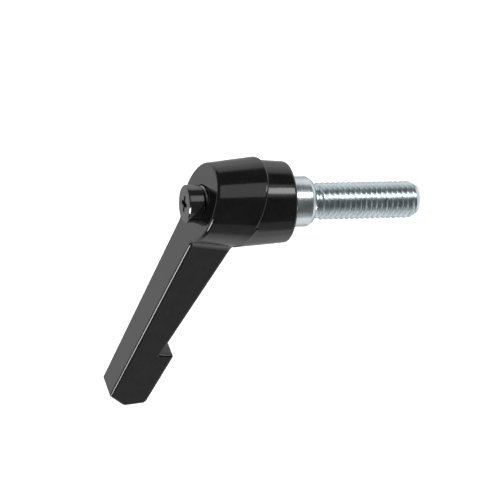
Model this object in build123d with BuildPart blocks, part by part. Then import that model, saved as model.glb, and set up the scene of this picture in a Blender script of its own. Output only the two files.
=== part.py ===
from build123d import *
import math
import os

# Adjustable clamping lever: a cast handle that indexes on the serrations of a threaded insert.
# Millimetres. The origin is the centre of the insert's seat, +Z runs up the hub's axis to the
# screw's head, the threaded stud points along -Z and the arm leaves along +X.

os.makedirs("parts", exist_ok=True)

# ------------------------------------------------------------------ threaded insert
stud_diameter = 10.0  # M10
stud_length = 30.0
stud_tip_radius = 3.85
stud_tip_length = 1.95
relief_radius = 4.15  # thread relief under the collar
relief_width = 1.1
undercut_clearance = 0.1  # the undercut in the seat clears the stud's crests, radial
undercut_depth = 0.25

collar_diameter = 13.5
collar_chamfer_radial = 1.05
collar_chamfer_axial = 1.45
insert_height = 19.0  # from the seat to the end of the serrations

# ------------------------------------------------------------------ serrated coupling
serration_count = 24
serration_root_radius = 5.65
serration_depth = 0.75
serration_tip_width = 0.35
serration_flank_angle = 62.0
serration_length = 5.2  # on the insert
serration_clearance = 0.05
serration_lead = 0.35  # chamfer that leads the two sets of teeth together
engagement = 3.6  # meshed length with the handle down

# ------------------------------------------------------------------ running fits and seats
guide_clearance = 0.05  # collar in the hub, radial
head_clearance = 0.1  # screw's head in the top bore, radial
shank_clearance = 0.3  # screw's shank in the web, radial
thread_clearance = 0.02  # screw's thread in its tapped hole, radial
spring_guide_clearance = 0.35  # spring inside the top bore, radial

# ------------------------------------------------------------------ hub
hub_base_height = 7.1  # underside of the hub above the seat
hub_base_radius = 10.8
hub_base_rounding = 1.0
hub_skirt_draft = 4.0  # the skirt widens upward to the parting step
hub_cap_radius = 10.5  # on the top plane, at the axis
hub_cap_draft = 6.4  # the cap widens downward to the parting step
hub_cap_rounding = 0.7
step_height = 18.4  # parting step, at the axis
step_angle = 17.2
step_overlap = 0.2  # the skirt runs this far up into the cap's rounding
hub_blank_margin = 3.0  # the hub's blanks reach this far past the parting step's edge
bore_mouth_chamfer = 0.5
web_thickness = 2.6

# ------------------------------------------------------------------ top plane and arm
top_height = 31.3  # top plane, at the axis
top_angle = 13.8
arm_width_at_axis = 12.0
arm_side_taper = 1.43  # each side closes in by this angle
arm_underside_height = 17.65  # underside's line carried back to the axis
arm_underside_angle = 19.55
arm_root_radius = 3.0
arm_reach = 66.3
nose_drop = 5.49  # from the top plane's line down to the furthest point of the tip
nose_bevel_angle = 51.0
nose_lean_angle = 6.5
nose_radius = 1.6
edge_rounding = 0.8

# ------------------------------------------------------------------ finger stop under the tip
stop_start = 47.9
stop_depth = 4.05
stop_angle = 17.0
stop_lean = 0.35  # draft of the stop's front face
stop_rounding = 0.9

# ------------------------------------------------------------------ retaining screw
screw_diameter = 6.0  # M6 cheese head
screw_length = 20.0
screw_tip_chamfer = 0.6
head_diameter = 10.0
head_height = 3.9
head_top_chamfer = 0.3
recess_span = 4.4
recess_width = 1.15
recess_depth = 2.2
recess_taper = 8.0
recess_core_diameter = 2.1
recess_turn = 18.0
drill_point_radius = 2.2
drill_point_half_angle = 59.0

# ------------------------------------------------------------------ spring
wire_diameter = 0.9
spring_pitch_aim = 1.94  # the whole number of turns comes nearest to this pitch

# ------------------------------------------------------------------ worked out from the above
stud_radius = stud_diameter / 2
collar_radius = collar_diameter / 2
screw_radius = screw_diameter / 2
head_radius = head_diameter / 2
serration_tip_radius = serration_root_radius + serration_depth
serration_start = insert_height - serration_length
handle_serration_start = insert_height - engagement
web_top = insert_height + web_thickness
head_underside = top_height
screw_tip = head_underside - screw_length
top_bore_radius = head_radius + head_clearance
guide_bore_radius = collar_radius + guide_clearance
spring_outer_radius = top_bore_radius - spring_guide_clearance
spring_mean_radius = spring_outer_radius - wire_diameter / 2
spring_height = head_underside - web_top
spring_turns = round(spring_height / spring_pitch_aim)
spring_pitch = spring_height / spring_turns


def slope(angle):
    """Rise for each millimetre along, at this angle in degrees."""
    return math.tan(math.radians(angle))


def top_at(x):
    """Height of the top plane at this distance along the arm."""
    return top_height + x * slope(top_angle)


def underside_at(x):
    """Height of the arm's underside at this distance along the arm."""
    return arm_underside_height + x * slope(arm_underside_angle)


top_plane = Plane(
    origin=(0, 0, top_height), x_dir=(1, 0, slope(top_angle)), z_dir=(-slope(top_angle), 0, 1)
)
step_plane = Plane(
    origin=(0, 0, step_height), x_dir=(1, 0, slope(step_angle)), z_dir=(-slope(step_angle), 0, 1)
)

spring_rise = math.atan(spring_pitch / (2 * math.pi * spring_mean_radius))
wire_start = Plane(
    origin=(spring_mean_radius, 0, web_top),
    x_dir=(1, 0, 0),
    z_dir=(0, math.cos(spring_rise), math.sin(spring_rise)),
)


def below_the_top(edge):
    """True for an edge that lies clear of the top plane."""
    return edge.center().Z < top_at(edge.center().X) - edge_rounding


def turned_section(foot, foot_radius, crown, crown_radius):
    """Half the section of a turned cone, from the axis outward."""
    Polygon((0, foot), (foot_radius, foot), (crown_radius, crown), (0, crown), align=None)


def serrations(growth):
    """The toothed section, grown by a clearance on every face."""
    root = serration_root_radius + growth
    sunk = serration_depth / 2
    height = serration_depth + sunk
    width = serration_tip_width + 2 * growth / math.sin(math.radians(serration_flank_angle))
    width += 2 * height / slope(serration_flank_angle)
    Circle(root)
    with PolarLocations(root - sunk, serration_count):
        Trapezoid(
            width, height, serration_flank_angle, rotation=-90, align=(Align.CENTER, Align.MIN)
        )


# ================================================================== hub, below the parting step
blank_reach = (hub_base_radius + hub_blank_margin) * slope(step_angle)
skirt_top = step_height + step_overlap + blank_reach
skirt_top_radius = hub_base_radius + (skirt_top - hub_base_height) * slope(hub_skirt_draft)

with BuildPart() as hub_skirt:
    with BuildSketch(Plane.XZ):
        turned_section(hub_base_height, hub_base_radius, skirt_top, skirt_top_radius)
    revolve(axis=Axis.Z)
    fillet(hub_skirt.edges().filter_by(GeomType.CIRCLE).sort_by(Axis.Z)[0], hub_base_rounding)
    split(bisect_by=step_plane.offset(step_overlap), keep=Keep.BOTTOM)

# ================================================================== hub, above the parting step
cap_foot = step_height - blank_reach
cap_foot_radius = hub_cap_radius + (top_height - cap_foot) * slope(hub_cap_draft)
cap_crown = top_at(hub_cap_radius)
cap_crown_radius = hub_cap_radius - (cap_crown - top_height) * slope(hub_cap_draft)

with BuildPart() as hub_cap:
    with BuildSketch(Plane.XZ):
        turned_section(cap_foot, cap_foot_radius, cap_crown, cap_crown_radius)
    revolve(axis=Axis.Z)
    split(bisect_by=step_plane, keep=Keep.TOP)
    cap_sole = hub_cap.faces().sort_by(Axis(step_plane.origin, step_plane.z_dir))[0]
    fillet(cap_sole.edges(), hub_cap_rounding)
    split(bisect_by=top_plane, keep=Keep.BOTTOM)


# ================================================================== arm
slab_end = arm_reach + edge_rounding
slab_half_width = arm_width_at_axis / 2
slab_end_half_width = slab_half_width - slab_end * slope(arm_side_taper)

stop_top = underside_at(stop_start)
stop_foot = (stop_start + stop_lean, stop_top - stop_depth)
nose_height = top_at(arm_reach) - nose_drop
lean, rise, bevel = slope(nose_lean_angle), slope(stop_angle), slope(nose_bevel_angle)
heel_x = (arm_reach - (nose_height - stop_foot[1] + rise * stop_foot[0]) * lean) / (1 - rise * lean)
heel = (heel_x, stop_foot[1] + (heel_x - stop_foot[0]) * rise)
crest_x = (nose_height - top_height + arm_reach * bevel) / (bevel + slope(top_angle))

blank_top = top_at(slab_end)
blank_top_radius = hub_cap_radius - (blank_top - top_height) * slope(hub_cap_draft)

with BuildPart() as arm_blank:
    with BuildSketch(Plane.XZ):
        turned_section(cap_foot, cap_foot_radius, blank_top, blank_top_radius)
    revolve(axis=Axis.Z)
    with BuildSketch(Plane.XY.offset(cap_foot)):
        with BuildLine():
            Polyline(
                (0, slab_half_width),
                (slab_end, slab_end_half_width),
                (slab_end, -slab_end_half_width),
                (0, -slab_half_width),
                close=True,
            )
        make_face()
    extrude(amount=blank_top - cap_foot)
    fillet(arm_blank.edges().filter_by(GeomType.HYPERBOLA), arm_root_radius)
    with BuildSketch(Plane.XZ) as arm_side:
        with BuildLine():
            Polyline(
                (0, underside_at(0)),
                (stop_start, stop_top),
                stop_foot,
                heel,
                (arm_reach, nose_height),
                (crest_x, top_at(crest_x)),
                (0, top_at(0)),
                close=True,
            )
        make_face()
        for corner in (stop_foot, heel, (arm_reach, nose_height)):
            rounding = stop_rounding if corner == stop_foot else nose_radius
            fillet(arm_side.vertices().sort_by_distance(corner)[0], rounding)
    extrude(amount=cap_foot_radius, both=True, mode=Mode.INTERSECT)
    # round both sides' edges, from the root along the underside to the top of the nose
    arm_edges = arm_blank.edges().filter_by(lambda edge: edge.center().X > cap_foot_radius)
    side_edges = arm_edges.filter_by(lambda edge: abs(edge.center().Y) > slab_half_width / 2)
    fillet(side_edges.filter_by(below_the_top), edge_rounding)

# ================================================================== handle
with BuildPart() as handle:
    add(hub_skirt.part)
    add(hub_cap.part)
    add(arm_blank.part)
    crown = handle.faces().sort_by(Axis(top_plane.origin, top_plane.z_dir))[-1]
    fillet(crown.edges(), edge_rounding)
    # guide bore for the collar, from below
    with BuildSketch(Plane.XY.offset(hub_base_height)):
        Circle(guide_bore_radius)
    extrude(amount=handle_serration_start - hub_base_height, mode=Mode.SUBTRACT)
    bore_mouth = handle.faces().sort_by(Axis.Z)[0].edges().sort_by(SortBy.RADIUS)[0]
    chamfer(bore_mouth, bore_mouth_chamfer)
    # serrations that mesh with the insert's, led in by a chamfer
    with BuildSketch(Plane.XY.offset(handle_serration_start)):
        serrations(serration_clearance)
    extrude(amount=engagement, mode=Mode.SUBTRACT)
    with Locations((0, 0, handle_serration_start)):
        Cone(
            serration_tip_radius + serration_clearance,
            serration_tip_radius + serration_clearance - serration_lead,
            serration_lead,
            align=(Align.CENTER, Align.CENTER, Align.MIN),
            mode=Mode.SUBTRACT,
        )
    # web that the spring presses on, and the bore that the spring and the screw's head share
    with BuildSketch(Plane.XY.offset(insert_height)):
        Circle(screw_radius + shank_clearance)
    extrude(amount=web_thickness, mode=Mode.SUBTRACT)
    with BuildSketch(Plane.XY.offset(web_top)):
        Circle(top_bore_radius)
    extrude(amount=top_at(hub_cap_radius) - web_top, mode=Mode.SUBTRACT)

handle.part.label = "handle"
export_step(handle.part, "parts/handle.step")

# ================================================================== threaded insert
with BuildPart() as threaded_insert:
    with BuildSketch(Plane.XZ):
        with BuildLine():
            Polyline(
                (0, -stud_length),
                (stud_tip_radius, -stud_length),
                (stud_radius, stud_tip_length - stud_length),
                (stud_radius, -relief_width - (stud_radius - relief_radius)),
                (relief_radius, -relief_width),
                (relief_radius, undercut_depth),
                (stud_radius + undercut_clearance, 0),
                (collar_radius - collar_chamfer_radial, 0),
                (collar_radius, collar_chamfer_axial),
                (collar_radius, serration_start),
                (0, serration_start),
                close=True,
            )
        make_face()
    revolve(axis=Axis.Z)
    with BuildSketch(Plane.XY.offset(serration_start)):
        serrations(0)
    extrude(amount=serration_length)
    # chamfer that leads the handle's serrations on
    with BuildSketch(Plane.XZ):
        with BuildLine():
            Polyline(
                (serration_tip_radius - serration_lead, insert_height),
                (collar_radius, insert_height),
                (collar_radius, insert_height - serration_lead),
                (serration_tip_radius, insert_height - serration_lead),
                close=True,
            )
        make_face()
    revolve(axis=Axis.Z, mode=Mode.SUBTRACT)
    # blind tapped hole, ending in the drill's point
    with BuildSketch(Plane.XY.offset(screw_tip)):
        Circle(screw_radius + thread_clearance)
    extrude(amount=insert_height - screw_tip, mode=Mode.SUBTRACT)
    with Locations((0, 0, screw_tip)):
        Cone(
            0,
            drill_point_radius,
            drill_point_radius / slope(drill_point_half_angle),
            align=(Align.CENTER, Align.CENTER, Align.MAX),
            mode=Mode.SUBTRACT,
        )

threaded_insert.part.label = "threaded_insert"
export_step(threaded_insert.part, "parts/threaded_insert.step")

# ================================================================== retaining screw
with BuildPart() as retaining_screw:
    with BuildSketch(Plane.XY.offset(head_underside)):
        Circle(head_radius)
    extrude(amount=head_height)
    chamfer(retaining_screw.faces().sort_by(Axis.Z)[-1].edges(), head_top_chamfer)
    with BuildSketch(Plane.XY.offset(screw_tip)):
        Circle(screw_radius)
    extrude(amount=screw_length)
    chamfer(retaining_screw.faces().sort_by(Axis.Z)[0].edges(), screw_tip_chamfer)
    # cross recess
    with BuildSketch(Plane.XY.offset(head_underside + head_height)):
        Rectangle(recess_span, recess_width, rotation=recess_turn)
        Rectangle(recess_width, recess_span, rotation=recess_turn)
        Circle(recess_core_diameter / 2)
    extrude(amount=-recess_depth, taper=recess_taper, mode=Mode.SUBTRACT)

retaining_screw.part.label = "retaining_screw"
export_step(retaining_screw.part, "parts/retaining_screw.step")

# ================================================================== compression spring
with BuildPart() as compression_spring:
    with BuildLine():
        Helix(spring_pitch, spring_height, spring_mean_radius, center=(0, 0, web_top))
    with BuildSketch(wire_start):
        Circle(wire_diameter / 2)
    sweep(is_frenet=True)
    # the end turns are closed, and ground flat on the web and under the screw's head
    with Locations((0, 0, web_top), (0, 0, head_underside)):
        Torus(spring_mean_radius, wire_diameter / 2)
    split(bisect_by=Plane.XY.offset(web_top), keep=Keep.TOP)
    split(bisect_by=Plane.XY.offset(head_underside), keep=Keep.BOTTOM)

compression_spring.part.label = "compression_spring"
export_step(compression_spring.part, "parts/compression_spring.step")
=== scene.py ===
# %% [markdown]
# # An adjustable clamping lever
#
# A black cast handle sits on a zinc plated threaded insert. A screw with a round head holds it
# on, and a spring under that head keeps it pressed down on a ring of serrations. The solids
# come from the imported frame, in metres, with +Z up the hub's axis, the stud along -Z and the
# arm along +X. This lesson dresses them: it gives each piece its finish, and cuts the real
# screw thread, which the solids only stand in for with a plain cylinder.

import math

import bmesh
import bpy
from mathutils import Matrix, Vector


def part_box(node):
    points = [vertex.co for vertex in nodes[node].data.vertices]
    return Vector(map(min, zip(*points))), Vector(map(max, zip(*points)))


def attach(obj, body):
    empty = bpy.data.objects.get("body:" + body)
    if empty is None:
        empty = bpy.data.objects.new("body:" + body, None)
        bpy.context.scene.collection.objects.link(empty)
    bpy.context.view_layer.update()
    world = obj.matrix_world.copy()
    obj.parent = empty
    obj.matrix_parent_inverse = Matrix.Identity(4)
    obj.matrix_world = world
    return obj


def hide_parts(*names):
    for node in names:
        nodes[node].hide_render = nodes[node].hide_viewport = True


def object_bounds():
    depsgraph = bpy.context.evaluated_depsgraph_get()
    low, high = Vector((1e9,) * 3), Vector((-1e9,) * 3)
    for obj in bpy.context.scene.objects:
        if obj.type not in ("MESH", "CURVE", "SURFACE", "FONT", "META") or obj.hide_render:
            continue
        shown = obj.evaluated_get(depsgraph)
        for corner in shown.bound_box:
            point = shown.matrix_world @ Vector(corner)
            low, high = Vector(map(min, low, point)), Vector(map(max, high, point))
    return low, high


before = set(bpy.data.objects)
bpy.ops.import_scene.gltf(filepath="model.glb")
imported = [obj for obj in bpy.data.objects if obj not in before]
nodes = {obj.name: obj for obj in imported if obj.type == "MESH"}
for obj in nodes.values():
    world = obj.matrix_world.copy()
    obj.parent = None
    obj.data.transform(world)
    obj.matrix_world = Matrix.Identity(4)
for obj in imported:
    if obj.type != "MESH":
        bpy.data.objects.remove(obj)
cad_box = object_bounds()
print("solids:", sorted(nodes))

MM = 0.001

# %% [markdown]
# ## The camera
#
# A small part is best seen with a long lens from about arm's length, which keeps its edges
# nearly parallel. The camera stands on the +Y side, 37 degrees round towards -X and 20 degrees
# above. It is rolled a quarter turn, so that the stud points to the right and the arm hangs
# down. The view transform is Standard, with no tone curve.

# %% Camera
CAMERA_PLACE = Vector((-422.74, 552.86, 256.39)) * MM
CAMERA_AIM = Vector((0.587917, -0.740772, -0.324978))
CAMERA_UP = Vector((-0.79439, -0.60740, 0.0))
CAMERA_ROLL = math.radians(-1.155)
LENS_MM = 200.2

camera_data = bpy.data.cameras.new("camera")
camera_data.lens = LENS_MM
camera_data.clip_start = 0.05
camera_data.clip_end = 20.0
camera = bpy.data.objects.new("camera", camera_data)
bpy.context.scene.collection.objects.link(camera)
bpy.context.scene.camera = camera
bpy.context.scene.view_settings.view_transform = "Standard"

# the roll is taken about the line of sight to the hub's axis
sight = Vector((0.56910, -0.74430, -0.34949)).normalized()
right = sight.cross(CAMERA_UP).normalized()
level_up = right.cross(sight)
rolled_up = level_up * math.cos(CAMERA_ROLL) - right * math.sin(CAMERA_ROLL)
back = -CAMERA_AIM.normalized()
across = rolled_up.cross(back).normalized()
up = back.cross(across)
turn = Matrix((across, up, back)).transposed()
camera.matrix_world = Matrix.Translation(CAMERA_PLACE) @ turn.to_4x4()
print("camera distance", round(CAMERA_PLACE.length, 3), "m, lens", LENS_MM, "mm")

# %% [markdown]
# ## The floor and the backdrop
#
# The lever stands over a plain white floor at the stud's tip. Its material adds a little white
# of its own for the camera, so it merges with the white world behind it, and still takes the
# object's shadow. All the lamps but the edge one stand lower than the floor, so the floor
# neither shades them nor shows in the gloss.

# %% Floor
FLOOR_GAP = 0.2 * MM
FLOOR_SIZE = 6.0
FLOOR_GLOW = 0.72

floor_mesh = bpy.data.meshes.new("floor")
half = FLOOR_SIZE / 2
floor_level = cad_box[0].z - FLOOR_GAP
corners = [(-half, -half), (half, -half), (half, half), (-half, half)]
floor_mesh.from_pydata([(x, y, floor_level) for x, y in corners], [], [(0, 1, 2, 3)])
floor = bpy.data.objects.new("floor", floor_mesh)
bpy.context.scene.collection.objects.link(floor)
floor.visible_shadow = False
floor.visible_glossy = False
print("floor at", round(floor_level / MM, 1), "mm")

# %% [markdown]
# ## Small helpers for node trees
#
# Materials, the world and Geometry Nodes are all trees of nodes. Two helpers keep them short:
# one adds a node with its settings and its inputs, and one does sums.

# %% Node helpers


def feed(tree, socket, source):
    """Links an output to this input, or sets the input's own value."""
    if isinstance(source, bpy.types.NodeSocket):
        tree.links.new(source, socket)
    else:
        socket.default_value = source


def node(tree, kind, inputs=None, **settings):
    """Adds one node. Inputs are named, or numbered where names repeat."""
    made = tree.nodes.new(kind)
    for name, value in settings.items():
        setattr(made, name, value)
    for name, source in (inputs or {}).items():
        feed(tree, made.inputs[name], source)
    return made


def calc(tree, operation, *terms):
    """One sum of a Math node."""
    made = tree.nodes.new("ShaderNodeMath")
    made.operation = operation
    for socket, term in zip(made.inputs, terms):
        feed(tree, socket, term)
    return made.outputs[0]


def blank_material(name):
    """A material with an empty tree and its output."""
    material = bpy.data.materials.new(name)
    material.use_nodes = True
    material.node_tree.nodes.clear()
    output = material.node_tree.nodes.new("ShaderNodeOutputMaterial")
    return material, material.node_tree, output


print("helpers ready")

# %% Floor material
white_floor, tree, output = blank_material("white_floor")
paper = node(tree, "ShaderNodeBsdfDiffuse", {"Color": (0.8, 0.8, 0.8, 1.0)})
glow = node(tree, "ShaderNodeEmission", {"Color": (1.0, 1.0, 1.0, 1.0)})
seen = node(tree, "ShaderNodeLightPath").outputs["Is Camera Ray"]
feed(tree, glow.inputs["Strength"], calc(tree, "MULTIPLY", seen, FLOOR_GLOW))
both = node(tree, "ShaderNodeAddShader", {0: paper.outputs[0], 1: glow.outputs[0]})
feed(tree, output.inputs["Surface"], both.outputs[0])
floor_mesh.materials.append(white_floor)
print("floor glow", FLOOR_GLOW)

# %% [markdown]
# ## The light
#
# Black gloss shows its surroundings more than its own colour. The room is white behind the
# object and falls off to dark behind the camera, so flat faces at a slant pick up a grey sheen
# and round ones stay black between two grey edges. Four soft lamps do the rest: the key draws
# the bright line along the hub, the collar and the stud, a weak wash widens it, the fill lifts
# the arm's side, and the edge lamp catches the small roundings round the top face.

# %% World
# brightness from straight behind the camera, at 0, to straight behind the object, at 1
ROOM_RAMP = {0.0: 0.12, 0.52: 0.12, 0.60: 0.95, 0.78: 1.0, 0.88: 0.62, 1.0: 0.48}

world = bpy.data.worlds.new("room")
bpy.context.scene.world = world
world.use_nodes = True
tree = world.node_tree
tree.nodes.clear()
direction = node(tree, "ShaderNodeTexCoord").outputs["Generated"]
facing = node(
    tree, "ShaderNodeVectorMath", {0: direction, 1: tuple(sight)}, operation="DOT_PRODUCT"
)
fall = node(tree, "ShaderNodeMapRange", {"Value": facing.outputs["Value"]}, clamp=True)
for name, value in {"From Min": -1.0, "From Max": 1.0, "To Min": 0.0, "To Max": 1.0}.items():
    fall.inputs[name].default_value = value
ramp = node(tree, "ShaderNodeValToRGB", {"Fac": fall.outputs["Result"]})
stops = ramp.color_ramp.elements
stops.remove(stops[1])
for position, level in ROOM_RAMP.items():
    stop = stops[0] if position == 0 else stops.new(position)
    stop.color = (level, level, level, 1.0)
room = node(tree, "ShaderNodeBackground", {"Color": ramp.outputs["Color"], "Strength": 1.0})
white = node(tree, "ShaderNodeBackground", {"Color": (1.0, 1.0, 1.0, 1.0), "Strength": 1.0})
seen = node(tree, "ShaderNodeLightPath").outputs["Is Camera Ray"]
mixed = node(
    tree, "ShaderNodeMixShader", {0: seen, 1: room.outputs[0], 2: white.outputs[0]}
)
node(tree, "ShaderNodeOutputWorld", {"Surface": mixed.outputs[0]})
print("room levels:", list(ROOM_RAMP.values()))

# %% Lamps


def lamp(name, direction, distance, width, height, radiance):
    """A soft box of this brightness that looks at the hub's foot from this direction."""
    data = bpy.data.lights.new(name, "AREA")
    data.shape = "RECTANGLE"
    data.size = width
    data.size_y = height
    data.energy = radiance * math.pi * width * height
    made = bpy.data.objects.new(name, data)
    place = Vector(direction).normalized() * distance
    aim = place.to_track_quat("Z", "Y").to_matrix().to_4x4()
    made.matrix_world = Matrix.Translation(place) @ aim
    bpy.context.scene.collection.objects.link(made)
    return made


# name: direction, distance, width and height in metres, radiance
LAMPS = {
    "key": ((-0.81, 0.32, -0.50), 0.7, 0.18, 0.26, 6.5),
    "wash": ((-0.92, 0.365, -0.15), 0.8, 0.50, 0.55, 1.1),
    "fill": ((0.60, 0.74, -0.33), 0.9, 0.55, 0.55, 0.30),
    "edge": ((0.277, 0.457, 0.835), 0.8, 0.34, 0.34, 15.0),
}
for name, settings in LAMPS.items():
    lamp(name, *settings)
print("lamps:", len(bpy.data.lights))

# %% [markdown]
# ## The finishes
#
# The handle is zinc, die cast and powder coated in satin black. Up close such a coat has a fine
# orange peel and its gloss wanders a little, so both come from noise on Object coordinates, at
# the size of a grain of powder that has flowed out. The bump is kept low: the coat has to stay
# smooth at arm's length.

# %% Black powder coat


def noise(tree, coordinates, size, detail=2.0, roughness=0.5):
    """Noise with features of about this size in metres."""
    inputs = {
        "Vector": coordinates,
        "Scale": 1.0 / size,
        "Detail": detail,
        "Roughness": roughness,
    }
    return node(tree, "ShaderNodeTexNoise", inputs).outputs["Fac"]


def between(tree, factor, low, high):
    """Carries a noise, which lies mostly from 0.3 to 0.7, into the range from low to high."""
    inputs = {"Value": factor, "From Min": 0.3, "From Max": 0.7, "To Min": low, "To Max": high}
    return node(tree, "ShaderNodeMapRange", inputs, clamp=True).outputs["Result"]


def shade(tree, factor, dark, light):
    """Mixes two colours by a noise."""
    mix = node(tree, "ShaderNodeMix", data_type="RGBA")
    feed(tree, mix.inputs["Factor"], between(tree, factor, 0.0, 1.0))
    feed(tree, mix.inputs[6], (*dark, 1.0))
    feed(tree, mix.inputs[7], (*light, 1.0))
    return mix.outputs[2]


def coat(name, dark, light, rough, peel_size, peel_depth, ior):
    """A painted or blackened surface with a fine peel."""
    material, tree, output = blank_material(name)
    place = node(tree, "ShaderNodeTexCoord").outputs["Object"]
    surface = node(tree, "ShaderNodeBsdfPrincipled", {"Metallic": 0.0, "IOR": ior})
    cloud = noise(tree, place, 4.0 * MM, 4.0, 0.6)
    peel = noise(tree, place, peel_size, 2.0)
    feed(tree, surface.inputs["Base Color"], shade(tree, cloud, dark, light))
    gloss = calc(tree, "MULTIPLY", calc(tree, "ADD", cloud, peel), 0.5)
    feed(tree, surface.inputs["Roughness"], between(tree, gloss, *rough))
    bump = node(tree, "ShaderNodeBump", {"Height": peel, "Strength": 1.0, "Distance": peel_depth})
    feed(tree, surface.inputs["Normal"], bump.outputs["Normal"])
    feed(tree, output.inputs["Surface"], surface.outputs["BSDF"])
    return material


powder_coat = coat(
    "powder_coat",
    dark=(0.003, 0.003, 0.0035),
    light=(0.007, 0.0068, 0.007),
    rough=(0.09, 0.16),
    peel_size=0.8 * MM,
    peel_depth=0.006 * MM,
    ior=1.5,
)
blackened_steel = coat(
    "blackened_steel",
    dark=(0.005, 0.005, 0.0055),
    light=(0.010, 0.010, 0.011),
    rough=(0.09, 0.15),
    peel_size=0.35 * MM,
    peel_depth=0.002 * MM,
    ior=1.8,
)
print("made", powder_coat.name, "and", blackened_steel.name)

# %% [markdown]
# ## Zinc plate and spring wire
#
# The insert is turned steel with bright zinc on it, which has a cold blue tint that drifts
# slightly over the surface. Turning leaves rings round the axis, so the bump follows the height
# alone. The spring is plain wire with the dull sheen of drawn steel.

# %% Metals


def metal(name, dark, light, rough, ring_size, ring_depth):
    """Bare or plated steel with the rings that turning or drawing leaves."""
    material, tree, output = blank_material(name)
    place = node(tree, "ShaderNodeTexCoord").outputs["Object"]
    surface = node(tree, "ShaderNodeBsdfPrincipled", {"Metallic": 1.0})
    cloud = noise(tree, place, 2.5 * MM, 3.0)
    height = node(tree, "ShaderNodeSeparateXYZ", {0: place}).outputs["Z"]
    rings = node(tree, "ShaderNodeTexNoise", {"Scale": 1.0, "Detail": 2.0}, noise_dimensions="1D")
    feed(tree, rings.inputs["W"], calc(tree, "DIVIDE", height, ring_size))
    feed(tree, surface.inputs["Base Color"], shade(tree, cloud, dark, light))
    gloss = calc(tree, "MULTIPLY", calc(tree, "ADD", cloud, rings.outputs["Fac"]), 0.5)
    feed(tree, surface.inputs["Roughness"], between(tree, gloss, *rough))
    inputs = {"Height": rings.outputs["Fac"], "Strength": 1.0, "Distance": ring_depth}
    bump = node(tree, "ShaderNodeBump", inputs)
    feed(tree, surface.inputs["Normal"], bump.outputs["Normal"])
    feed(tree, output.inputs["Surface"], surface.outputs["BSDF"])
    return material


zinc_plate = metal(
    "zinc_plate",
    dark=(0.56, 0.64, 0.67),
    light=(0.70, 0.76, 0.78),
    rough=(0.20, 0.32),
    ring_size=0.12 * MM,
    ring_depth=0.0015 * MM,
)
spring_wire = metal(
    "spring_wire",
    dark=(0.30, 0.30, 0.31),
    light=(0.42, 0.42, 0.43),
    rough=(0.28, 0.42),
    ring_size=0.08 * MM,
    ring_depth=0.002 * MM,
)
print("made", zinc_plate.name, "and", spring_wire.name)

# %% Finishes on the solids
for name, finish in {
    "handle": powder_coat,
    "retaining_screw": blackened_steel,
    "compression_spring": spring_wire,
    "threaded_insert": zinc_plate,
}.items():
    slots = nodes[name].data.materials
    if not slots:
        slots.append(finish)
    for index in range(len(slots)):
        slots[index] = finish
    print(name, "takes", finish.name)

# %% [markdown]
# ## The body of the threaded insert
#
# The insert is one turned piece: a seat, a collar that the hub runs on, a core for the
# serrations and a blind tapped hole for the screw. Everything that is round about the axis is
# one profile, turned by a small lathe function that closes the poles and keeps the faces
# pointing outward.

# %% Turned core
COLLAR_CHAMFER = (1.05 * MM, 1.45 * MM)
EDGE_BREAK = 0.12 * MM
ROOT_RADIUS = 5.65 * MM
TOOTH_DEPTH = 0.75 * MM
TOOTH_LENGTH = 5.2 * MM
HOLE_RADIUS = 3.02 * MM
HOLE_END = 11.3 * MM
DRILL_RADIUS = 2.2 * MM
DRILL_ANGLE = math.radians(59.0)
SIDES = 96

insert_low, insert_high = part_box("threaded_insert")
collar_radius = insert_high.x
tooth_start = insert_high.z - TOOTH_LENGTH
seat_radius = collar_radius - COLLAR_CHAMFER[0]


def turned(name, profile, sides):
    """Turns (radius, height) points about Z into a closed mesh. A zero radius is a pole."""
    mesh = bmesh.new()
    rings = []
    for radius, height in profile:
        if radius == 0:
            rings.append([mesh.verts.new((0, 0, height))] * sides)
            continue
        angles = [2 * math.pi * step / sides for step in range(sides)]
        places = [(radius * math.cos(a), radius * math.sin(a), height) for a in angles]
        rings.append([mesh.verts.new(place) for place in places])
    for lower, upper in zip(rings, rings[1:]):
        for step in range(sides):
            after = (step + 1) % sides
            loop = (lower[step], lower[after], upper[after], upper[step])
            mesh.faces.new(tuple(dict.fromkeys(loop)))
    bmesh.ops.recalc_face_normals(mesh, faces=mesh.faces)
    data = bpy.data.meshes.new(name)
    mesh.to_mesh(data)
    mesh.free()
    return data


core_profile = [
    (0, 0),
    (seat_radius - EDGE_BREAK, 0),
    (seat_radius + EDGE_BREAK * 0.6, EDGE_BREAK * 0.9),
    (collar_radius - EDGE_BREAK * 0.5, COLLAR_CHAMFER[1] - EDGE_BREAK * 0.8),
    (collar_radius, COLLAR_CHAMFER[1] + EDGE_BREAK * 0.7),
    (collar_radius, tooth_start),
    (ROOT_RADIUS, tooth_start),
    (ROOT_RADIUS, insert_high.z),
    (HOLE_RADIUS, insert_high.z),
    (HOLE_RADIUS, HOLE_END),
    (DRILL_RADIUS, HOLE_END),
    (0, HOLE_END - DRILL_RADIUS / math.tan(DRILL_ANGLE)),
]
core = bpy.data.objects.new("insert", turned("insert_core", core_profile, SIDES))
bpy.context.scene.collection.objects.link(core)
print("core faces:", len(core.data.polygons))

# %% [markdown]
# ## One tooth of the serrations
#
# Twenty-four straight teeth mesh with those in the handle's bore. They are all alike, so one is
# drawn here and Geometry Nodes set it round the core. Its flanks slope, and its tip is
# chamfered at the top to lead the handle on.

# %% Tooth
TOOTH_COUNT = 24
TOOTH_TIP_WIDTH = 0.35 * MM
FLANK_ANGLE = math.radians(62.0)
TOOTH_LEAD = 0.35 * MM
TOOTH_SUNK = 0.15 * MM

tip_radius = ROOT_RADIUS + TOOTH_DEPTH
sunk_radius = ROOT_RADIUS - TOOTH_SUNK
lead_radius = tip_radius - TOOTH_LEAD


def half_width(radius):
    """Half of the tooth's width at this radius."""
    return TOOTH_TIP_WIDTH / 2 + (tip_radius - radius) / math.tan(FLANK_ANGLE)


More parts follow.
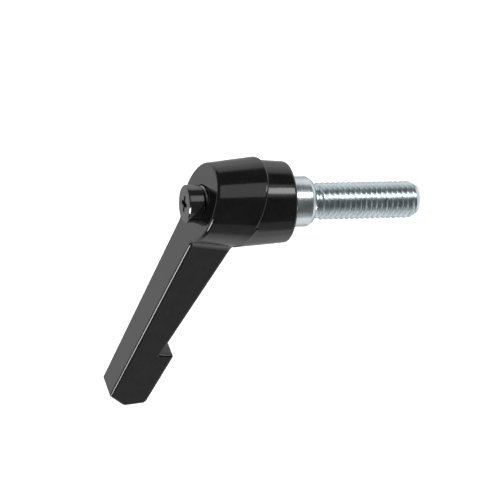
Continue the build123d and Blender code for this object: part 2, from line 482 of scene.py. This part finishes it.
foot = tooth_start - TOOTH_SUNK
head = insert_high.z
tooth_places = []
for radius, height in (
    (sunk_radius, foot),
    (tip_radius, foot),
    (tip_radius, head - TOOTH_LEAD),
    (lead_radius, head),
    (sunk_radius, head),
):
    tooth_places.append((radius, -half_width(radius), height))
    tooth_places.append((radius, half_width(radius), height))
tooth_faces = [(0, 2, 4, 6, 8), (9, 7, 5, 3, 1)]
tooth_faces += [(0, 1, 3, 2), (2, 3, 5, 4), (4, 5, 7, 6), (6, 7, 9, 8), (8, 9, 1, 0)]
tooth_mesh = bpy.data.meshes.new("tooth")
tooth_mesh.from_pydata(tooth_places, [], tooth_faces)
work = bmesh.new()
work.from_mesh(tooth_mesh)
bmesh.ops.recalc_face_normals(work, faces=work.faces)
work.to_mesh(tooth_mesh)
work.free()
tooth = bpy.data.objects.new("tooth", tooth_mesh)
bpy.context.scene.collection.objects.link(tooth)
print("tooth faces:", len(tooth_mesh.polygons))

# %% [markdown]
# ## The thread, as a rule
#
# A screw thread is one rule: the radius depends only on how far a point lies from the crest,
# and the crest climbs one pitch a turn. So the tree bends a flat grid round the axis. Each row
# climbs with the angle, which makes the rows run along the helix and keeps crests and roots
# crisp. The point at the tip and the relief under the collar are cones that the thread may not
# pass, so the radius is the least of the three. Rows beyond the two ends are pressed flat onto
# them and merged away.

# %% Tree of the threaded insert
insert_tree = bpy.data.node_groups.new("threaded_insert_tree", "GeometryNodeTree")
face = insert_tree.interface
face.new_socket("Core", in_out="INPUT", socket_type="NodeSocketGeometry")
for label, kind in {
    "Tooth": "Object",
    "Tooth count": "Int",
    "Pitch": "Float",
    "Crest radius": "Float",
    "Thread depth": "Float",
    "Crest width": "Float",
    "Tip height": "Float",
    "Top height": "Float",
    "Point radius": "Float",
    "Point length": "Float",
    "Relief radius": "Float",
    "Relief height": "Float",
    "Turns": "Int",
    "Rows a turn": "Int",
    "Columns": "Int",
    "Finish": "Material",
}.items():
    face.new_socket(label, in_out="INPUT", socket_type="NodeSocket" + kind)
face.new_socket("Insert", in_out="OUTPUT", socket_type="NodeSocketGeometry")

given = insert_tree.nodes.new("NodeGroupInput").outputs


def sum_of(operation, *terms):
    return calc(insert_tree, operation, *terms)


rows = sum_of("ADD", sum_of("MULTIPLY", given["Turns"], given["Rows a turn"]), 1)
grid = node(
    insert_tree,
    "GeometryNodeMeshGrid",
    {
        "Size X": 1.0,
        "Size Y": 1.0,
        "Vertices X": sum_of("ADD", given["Columns"], 1),
        "Vertices Y": rows,
    },
)
place = insert_tree.nodes.new("GeometryNodeInputPosition").outputs[0]
flat = node(insert_tree, "ShaderNodeSeparateXYZ", {0: place})
round_share = sum_of("ADD", flat.outputs["X"], 0.5)
climb = sum_of("MULTIPLY", sum_of("ADD", flat.outputs["Y"], 0.5), given["Turns"])

from_crest = sum_of("MULTIPLY", sum_of("PINGPONG", climb, 0.5), given["Pitch"])
past_crest = sum_of("SUBTRACT", from_crest, sum_of("MULTIPLY", given["Crest width"], 0.5))
flank = sum_of("MULTIPLY", sum_of("MAXIMUM", past_crest, 0.0), math.sqrt(3))
cut = sum_of("MINIMUM", flank, given["Thread depth"])
thread_radius = sum_of("SUBTRACT", given["Crest radius"], cut)

turned_share = sum_of("SUBTRACT", sum_of("ADD", climb, round_share), 1.0)
raw_height = sum_of("ADD", given["Tip height"], sum_of("MULTIPLY", turned_share, given["Pitch"]))
above_tip = sum_of("MAXIMUM", raw_height, given["Tip height"])
height = sum_of("MINIMUM", above_tip, given["Top height"])

point_rise = sum_of("SUBTRACT", given["Crest radius"], given["Point radius"])
point_slope = sum_of("DIVIDE", point_rise, given["Point length"])
past_tip = sum_of("SUBTRACT", height, given["Tip height"])
point_cone = sum_of("ADD", given["Point radius"], sum_of("MULTIPLY", past_tip, point_slope))
under_relief = sum_of("MAXIMUM", sum_of("SUBTRACT", given["Relief height"], height), 0.0)
relief_cone = sum_of("ADD", given["Relief radius"], under_relief)
radius = sum_of("MINIMUM", sum_of("MINIMUM", thread_radius, point_cone), relief_cone)

angle = sum_of("MULTIPLY", round_share, 2 * math.pi)
bent = node(
    insert_tree,
    "ShaderNodeCombineXYZ",
    {
        "X": sum_of("MULTIPLY", radius, sum_of("COSINE", angle)),
        "Y": sum_of("MULTIPLY", radius, sum_of("SINE", angle)),
        "Z": height,
    },
)
thread = node(
    insert_tree,
    "GeometryNodeSetPosition",
    {"Geometry": grid.outputs["Mesh"], "Position": bent.outputs[0]},
)


def end_disc(radius, height):
    """A flat disc that closes one end of the thread."""
    disc = node(
        insert_tree,
        "GeometryNodeMeshCircle",
        {"Vertices": given["Columns"], "Radius": radius},
        fill_type="TRIANGLE_FAN",
    )
    place = node(insert_tree, "ShaderNodeCombineXYZ", {"Z": height})
    return node(
        insert_tree,
        "GeometryNodeTransform",
        {"Geometry": disc.outputs[0], "Translation": place.outputs[0]},
    )


lower_disc = node(
    insert_tree,
    "GeometryNodeFlipFaces",
    {"Mesh": end_disc(given["Point radius"], given["Tip height"]).outputs[0]},
)
upper_disc = end_disc(given["Relief radius"], given["Top height"])
loose_thread = node(insert_tree, "GeometryNodeJoinGeometry")
for part in (thread, lower_disc, upper_disc):
    insert_tree.links.new(part.outputs[0], loose_thread.inputs[0])
closed_thread = node(
    insert_tree,
    "GeometryNodeMergeByDistance",
    {"Geometry": loose_thread.outputs[0], "Distance": 0.002 * MM},
)

one_tooth = node(
    insert_tree, "GeometryNodeObjectInfo", {"Object": given["Tooth"], "As Instance": True}
)
spots = node(insert_tree, "GeometryNodePoints", {"Count": given["Tooth count"]})
index = insert_tree.nodes.new("GeometryNodeInputIndex").outputs[0]
step = sum_of("DIVIDE", 2 * math.pi, given["Tooth count"])
tooth_turn = node(insert_tree, "ShaderNodeCombineXYZ", {"Z": sum_of("MULTIPLY", index, step)})
teeth = node(
    insert_tree,
    "GeometryNodeInstanceOnPoints",
    {
        "Points": spots.outputs[0],
        "Instance": one_tooth.outputs["Geometry"],
        "Rotation": tooth_turn.outputs[0],
    },
)

whole = node(insert_tree, "GeometryNodeJoinGeometry")
for part in (given["Core"], closed_thread.outputs[0], teeth.outputs[0]):
    insert_tree.links.new(part, whole.inputs[0])
real = node(insert_tree, "GeometryNodeRealizeInstances", {"Geometry": whole.outputs[0]})
coated = node(
    insert_tree,
    "GeometryNodeSetMaterial",
    {"Geometry": real.outputs[0], "Material": given["Finish"]},
)
result = insert_tree.nodes.new("NodeGroupOutput")
insert_tree.links.new(coated.outputs[0], result.inputs[0])
print("tree nodes:", len(insert_tree.nodes))

# %% [markdown]
# ## The threaded insert
#
# The tree gets the sizes of an M10 thread, whose pitch is 1.5 mm, and its result becomes a
# plain mesh. The thread is cut as deep as the relief, a little shallower than a full one. The
# piece stands for the solid of that name, and stays still while the handle moves round it.

# %% Threaded insert
PITCH = 1.5 * MM
THREAD_TOP = 0.5 * MM  # inside the collar, past the relief
THREAD_SIZES = {
    "Tooth": tooth,
    "Tooth count": TOOTH_COUNT,
    "Pitch": PITCH,
    "Crest radius": 5.0 * MM,
    "Thread depth": 0.85 * MM,
    "Crest width": PITCH / 6,
    "Tip height": insert_low.z,
    "Top height": THREAD_TOP,
    "Point radius": 3.85 * MM,
    "Point length": 1.95 * MM,
    "Relief radius": 4.15 * MM,
    "Relief height": -1.1 * MM,
    "Turns": math.ceil((THREAD_TOP - insert_low.z) / PITCH) + 1,
    "Rows a turn": 24,
    "Columns": SIDES,
    "Finish": zinc_plate,
}


def bake(piece, tree, values):
    """Runs the tree on the piece and keeps the result as its plain mesh."""
    modifier = piece.modifiers.new(tree.name, "NODES")
    modifier.node_group = tree
    for item in tree.interface.items_tree:
        if item.in_out == "INPUT" and item.name in values:
            modifier[item.identifier] = values[item.name]
    depsgraph = bpy.context.evaluated_depsgraph_get()
    result = bpy.data.meshes.new_from_object(piece.evaluated_get(depsgraph))
    piece.modifiers.remove(modifier)
    piece.data = result
    return piece


SHARP_ANGLE = math.radians(32.0)

bake(core, insert_tree, THREAD_SIZES)
core.data.shade_smooth()
core.data.set_sharp_from_angle(angle=SHARP_ANGLE)
bpy.data.objects.remove(tooth)
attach(core, "stud")
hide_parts("threaded_insert")
core.data.calc_loop_triangles()
print("insert triangles:", len(core.data.loop_triangles))
